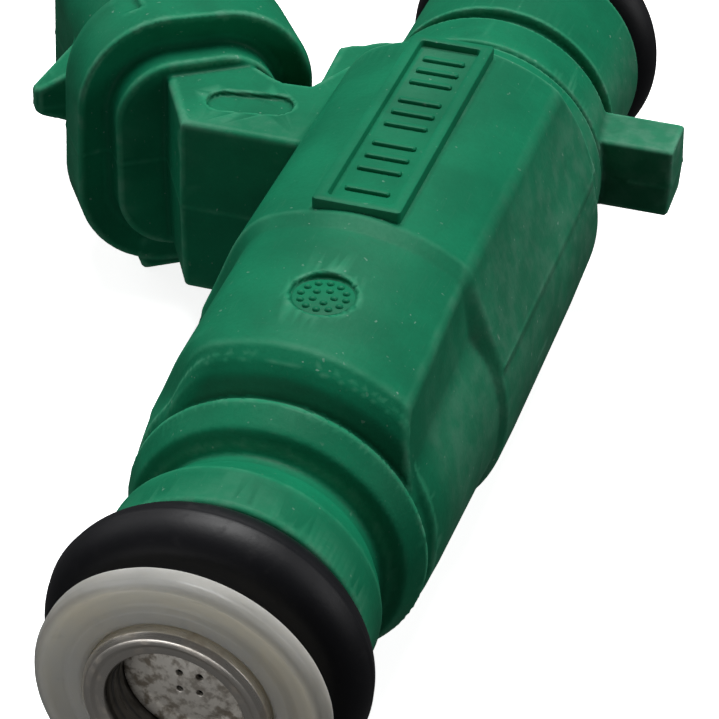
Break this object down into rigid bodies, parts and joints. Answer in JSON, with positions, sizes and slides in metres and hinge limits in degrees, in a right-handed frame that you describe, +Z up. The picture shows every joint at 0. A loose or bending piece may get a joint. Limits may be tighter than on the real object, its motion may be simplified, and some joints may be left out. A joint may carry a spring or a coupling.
{
  "type": "fuel injector",
  "caption": "Port fuel injector with an overmoulded plastic body, angled two-pin connector, seal rings at both ends and an internal spring-closed solenoid valve.",
  "frame": {"origin": "on the injector's axis at the middle of the lower seal ring, which seals in the intake manifold", "axes": "+Y along the injector's axis from spray tip to fuel inlet, +Z up through the marking plate, the connector leans to -X and the key tab points to +X"},
  "size_m": [0.0383, 0.0634, 0.0182],
  "materials": {
    "green_plastic": "satin moulded, pale on worn edges",
    "milky_nylon": "milky translucent moulded nylon",
    "black_rubber": "satin, lightly greased",
    "turned_steel": "fine turned",
    "hard_steel": "ground",
    "spray_disc_steel": "dull etched",
    "ball_steel": "polished",
    "magnetic_steel": "satin plated",
    "stainless_steel": "fine turned",
    "spring_steel": "drawn wire",
    "black_plastic": "moulded",
    "copper_wire": "enamelled wire",
    "filter_brass": "turned",
    "filter_plastic": "moulded",
    "filter_gauze": "fine woven mesh",
    "tinned_brass": "tin plated, stamped"
  },
  "bodies": {
    "body": {"housing": "green_plastic", "tip_cap": "milky_nylon", "lower_o_ring": "black_rubber", "upper_o_ring": "black_rubber", "valve_body": "turned_steel", "valve_seat": "hard_steel", "orifice_disc": "spray_disc_steel", "spacer_sleeve": "stainless_steel", "pole_core": "turned_steel", "return_spring": "spring_steel", "adjusting_sleeve": "stainless_steel", "coil_bobbin": "black_plastic", "coil_winding": "copper_wire", "magnet_casing": "magnetic_steel", "flux_washer": "magnetic_steel", "filter_collar": "filter_brass", "filter_basket": "filter_plastic", "filter_mesh": "filter_gauze", "terminal_blade_a": "tinned_brass", "terminal_blade_b": "tinned_brass"},
    "valve": {"valve_ball": "ball_steel", "needle_tube": "turned_steel", "armature": "magnetic_steel"}
  },
  "joints": [
    {"name": "valve_lift", "type": "slide", "parent": "body", "child": "valve", "axis": [0, 1, 0], "range_m": [0, 0.0001], "stiffness_N_per_m": 8000, "springref_m": -0.0004}
  ]
}
